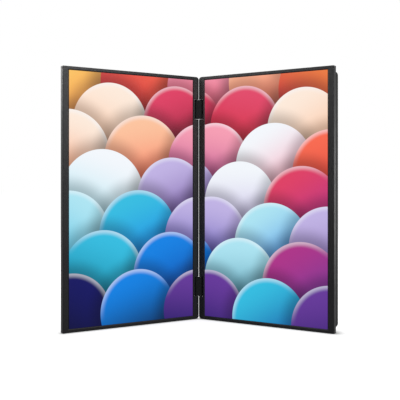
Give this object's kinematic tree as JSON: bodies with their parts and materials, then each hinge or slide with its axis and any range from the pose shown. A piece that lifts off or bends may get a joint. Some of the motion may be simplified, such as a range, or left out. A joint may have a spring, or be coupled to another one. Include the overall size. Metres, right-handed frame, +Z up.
{
  "type": "dual portable monitor",
  "caption": "Two upright flat screens joined by a friction hinge spine, standing open like a book; a slim electronics housing with sockets, buttons and a fold-out stand sits behind one of them.",
  "frame": {"origin": "centre of the bounding box at the base, on the surface that the part stands on", "axes": "+Z up, +X to the viewer's right, -Y towards the viewer who faces both screens"},
  "size_m": [0.3682, 0.121, 0.3538],
  "materials": {
    "bezel_black": "fine matte",
    "case_black": "fine texture",
    "hinge_black": "satin",
    "stand_black": "black anodised",
    "button_black": "satin",
    "display_glass": "anti-glare",
    "optical_film": "diffusing",
    "clear_acrylic": "clear",
    "sheet_steel": "zinc plated",
    "steel": "ground",
    "circuit_board": "solder mask",
    "black_rubber": "matte",
    "plated_shell": "plated",
    "ribbon_white": "film",
    "dark_plastic": "moulded"
  },
  "bodies": {
    "main_panel": {"board_screws": "steel", "charge_socket": "plated_shell", "data_socket": "plated_shell", "key_switches": "dark_plastic", "lower_right_hinge_bracket": "sheet_steel", "lower_right_hinge_shaft": "steel", "lower_speaker": "dark_plastic", "lower_speaker_lead": "black_rubber", "main_board": "circuit_board", "main_rear_housing": "case_black", "panel_ribbon": "ribbon_white", "right_backlight_tray": "sheet_steel", "right_bracket_screws": "steel", "right_display_glass": "display_glass", "right_driver_board": "circuit_board", "right_front_bezel": "bezel_black", "right_led_bar": "circuit_board", "right_light_guide": "clear_acrylic", "right_optical_films": "optical_film", "right_panel_cable": "black_rubber", "upper_right_hinge_bracket": "sheet_steel", "upper_right_hinge_shaft": "steel", "upper_speaker": "dark_plastic", "upper_speaker_lead": "black_rubber", "video_socket": "plated_shell"},
    "hinge_links": {"upper_hinge_block": "hinge_black", "lower_hinge_block": "hinge_black", "upper_friction_sleeves": "steel", "lower_friction_sleeves": "steel", "link_cable": "black_rubber"},
    "second_panel": {"left_backlight_tray": "sheet_steel", "left_bracket_screws": "steel", "left_display_glass": "display_glass", "left_driver_board": "circuit_board", "left_front_bezel": "bezel_black", "left_led_bar": "circuit_board", "left_light_guide": "clear_acrylic", "left_optical_films": "optical_film", "left_panel_cable": "black_rubber", "left_rear_cover": "case_black", "lower_left_hinge_bracket": "sheet_steel", "lower_left_hinge_shaft": "steel", "upper_left_hinge_bracket": "sheet_steel", "upper_left_hinge_shaft": "steel"},
    "stand": {"kickstand": "stand_black", "kickstand_pins": "steel", "kickstand_feet": "black_rubber"},
    "power_key": {"power_button": "button_black"},
    "plus_key": {"plus_button": "button_black"},
    "minus_key": {"minus_button": "button_black"}
  },
  "joints": [
    {"name": "right_hinge", "type": "hinge", "parent": "main_panel", "child": "hinge_links", "pos_m": [0.0025, 0.05687, 0.1769], "axis": [0, 0, 1], "range_deg": [-93.1, 56.9]},
    {"name": "left_hinge", "type": "hinge", "parent": "hinge_links", "child": "second_panel", "pos_m": [-0.0051, 0.05687, 0.1769], "axis": [0, 0, 1], "range_deg": [-92.3, 57.7]},
    {"name": "stand_hinge", "type": "hinge", "parent": "main_panel", "child": "stand", "pos_m": [0.09159, 0.01371, 0.1769], "axis": [0, 0, 1], "range_deg": [0, 85]},
    {"name": "power_press", "type": "slide", "parent": "main_panel", "child": "power_key", "axis": [0, 0, -1], "range_m": [0, 0.0005], "stiffness_N_per_m": 2000, "springref_m": -0.0004},
    {"name": "plus_press", "type": "slide", "parent": "main_panel", "child": "plus_key", "axis": [0, 0, -1], "range_m": [0, 0.0005], "stiffness_N_per_m": 2000, "springref_m": -0.0004},
    {"name": "minus_press", "type": "slide", "parent": "main_panel", "child": "minus_key", "axis": [0, 0, -1], "range_m": [0, 0.0005], "stiffness_N_per_m": 2000, "springref_m": -0.0004}
  ]
}
